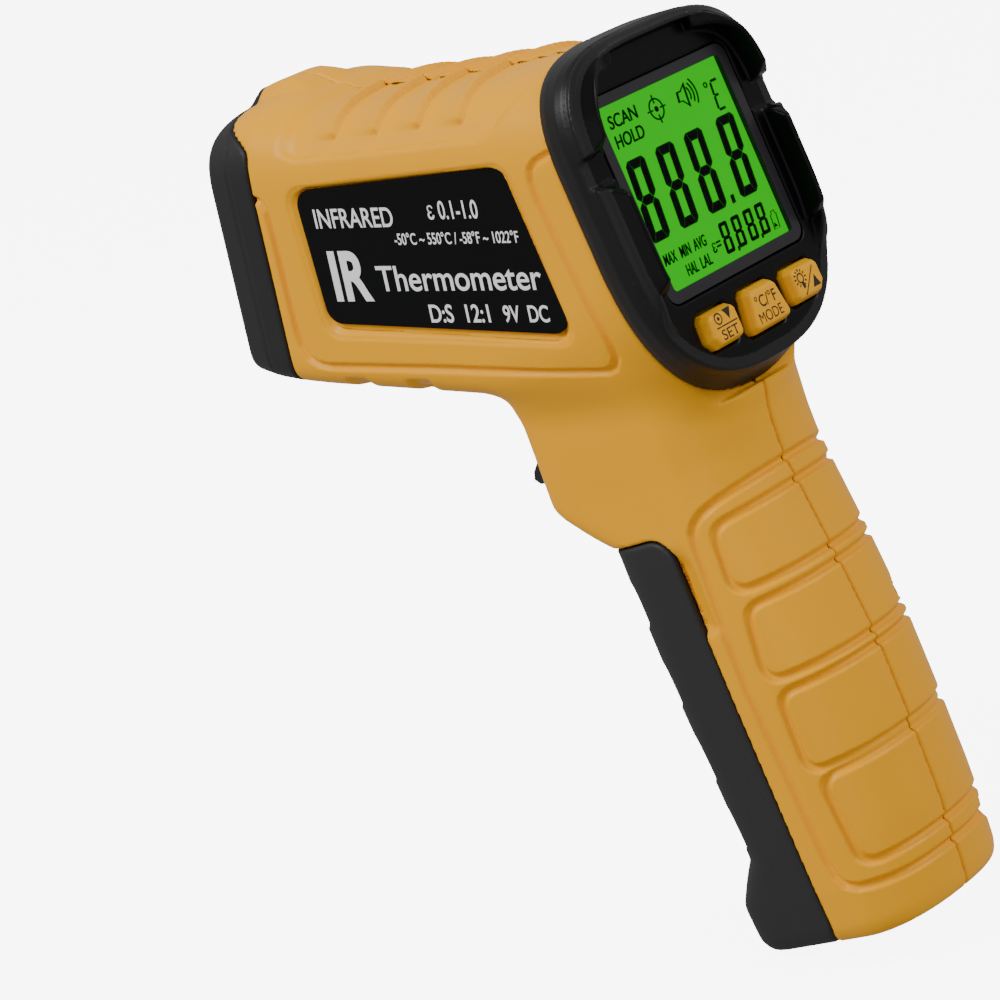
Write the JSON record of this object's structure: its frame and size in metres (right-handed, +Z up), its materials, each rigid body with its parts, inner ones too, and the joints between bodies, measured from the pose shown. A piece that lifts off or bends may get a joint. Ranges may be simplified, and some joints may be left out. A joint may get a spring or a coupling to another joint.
{
  "type": "infrared thermometer",
  "caption": "Pistol-grip infrared thermometer with a tilted lit display, keypad, finger trigger, recessed lens, aiming laser and hinged battery door in the grip.",
  "frame": {"origin": "below the middle of the bounding box, at the height of the lowest edge of the grip", "axes": "nose and lens point to -X, display faces +X and up, +Y is the user's right hand side, +Z up"},
  "size_m": [0.11, 0.0494, 0.1483],
  "materials": {
    "battery": "printed metal jacket",
    "battery_door": "fine texture, dark grey",
    "battery_lead_black": "insulated wire",
    "battery_lead_red": "insulated wire",
    "battery_pad": "foam",
    "battery_snap": "black",
    "buzzer": "black",
    "display_board": "circuit board",
    "display_window": "clear, black printed border",
    "door_hinge_pin": "steel wire",
    "ir_lens": "dark infrared lens",
    "keypad_membrane": "moulded sheet",
    "laser_module": "turned",
    "laser_optic": "clear",
    "laser_window": "clear tinted",
    "lcd_backlight": "lit green",
    "lcd_connector": "striped elastomer",
    "lcd_glass": "lit green",
    "left_housing": "fine satin, yellow",
    "left_label": "printed film, satin black",
    "lens_retaining_ring": "plain",
    "lens_shroud": "matte black cone",
    "light_button": "satin, yellow",
    "light_contact": "conductive rubber",
    "main_board": "circuit board",
    "mode_button": "satin, yellow",
    "mode_contact": "conductive rubber",
    "nose_cap": "matte dark grey",
    "processor": "black",
    "rear_bezel": "glossy black face, satin skirt",
    "right_housing": "fine satin, yellow",
    "right_label": "printed film, satin black",
    "screw_front_bottom": "plated screw",
    "screw_front_top": "plated screw",
    "screw_grip_lower": "plated screw",
    "screw_grip_upper": "plated screw",
    "screw_neck": "plated screw",
    "screw_rear_top": "plated screw",
    "sensor_board": "circuit board",
    "set_button": "satin, yellow",
    "set_contact": "conductive rubber",
    "thermopile_sensor": "drawn metal can",
    "trigger": "fine texture, dark grey",
    "trigger_pin": "steel wire",
    "trigger_plunger": "pale",
    "trigger_spring": "spring wire",
    "trigger_switch": "black"
  },
  "bodies": {
    "housing": {"battery": "battery", "battery_lead_black": "battery_lead_black", "battery_lead_red": "battery_lead_red", "battery_pad": "battery_pad", "battery_snap": "battery_snap", "buzzer": "buzzer", "display_board": "display_board", "display_window": "display_window", "door_hinge_pin": "door_hinge_pin", "ir_lens": "ir_lens", "keypad_membrane": "keypad_membrane", "laser_module": "laser_module", "laser_optic": "laser_optic", "laser_window": "laser_window", "lcd_backlight": "lcd_backlight", "lcd_connector": "lcd_connector", "lcd_glass": "lcd_glass", "left_housing": "left_housing", "left_label": "left_label", "lens_retaining_ring": "lens_retaining_ring", "lens_shroud": "lens_shroud", "main_board": "main_board", "nose_cap": "nose_cap", "processor": "processor", "rear_bezel": "rear_bezel", "right_housing": "right_housing", "right_label": "right_label", "screw_front_bottom": "screw_front_bottom", "screw_front_top": "screw_front_top", "screw_grip_lower": "screw_grip_lower", "screw_grip_upper": "screw_grip_upper", "screw_neck": "screw_neck", "screw_rear_top": "screw_rear_top", "sensor_board": "sensor_board", "thermopile_sensor": "thermopile_sensor", "trigger_pin": "trigger_pin", "trigger_spring": "trigger_spring", "trigger_switch": "trigger_switch"},
    "door": {"battery_door": "battery_door"},
    "trigger": {"trigger": "trigger"},
    "switch_plunger": {"trigger_plunger": "trigger_plunger"},
    "set_key": {"set_button": "set_button", "set_contact": "set_contact"},
    "mode_key": {"mode_button": "mode_button", "mode_contact": "mode_contact"},
    "light_key": {"light_button": "light_button", "light_contact": "light_contact"}
  },
  "joints": [
    {"name": "door_hinge", "type": "hinge", "parent": "housing", "child": "door", "pos_m": [0.03002, 0, 0.006], "axis": [0, -1, 0], "range_deg": [0, 70]},
    {"name": "trigger_pull", "type": "hinge", "parent": "housing", "child": "trigger", "pos_m": [0.001, 0, 0.09], "axis": [0, -1, 0], "range_deg": [0, 12], "stiffness_Nm_per_rad": 0.12, "springref_deg": -6.88, "deforming": ["trigger_spring"]},
    {"name": "plunger_slide", "type": "slide", "parent": "housing", "child": "switch_plunger", "axis": [1, 0, 0], "range_m": [0, 0.002]},
    {"name": "set_press", "type": "slide", "parent": "housing", "child": "set_key", "axis": [-0.9627, 0, -0.2706], "range_m": [0, 0.0009], "stiffness_N_per_m": 900, "springref_m": -0.0006},
    {"name": "mode_press", "type": "slide", "parent": "housing", "child": "mode_key", "axis": [-0.9627, 0, -0.2706], "range_m": [0, 0.0009], "stiffness_N_per_m": 900, "springref_m": -0.0006},
    {"name": "light_press", "type": "slide", "parent": "housing", "child": "light_key", "axis": [-0.9627, 0, -0.2706], "range_m": [0, 0.0009], "stiffness_N_per_m": 900, "springref_m": -0.0006}
  ],
  "couplings": [
    {"joint": "plunger_slide", "follows": "trigger_pull", "m_per_rad": 0.008}
  ]
}
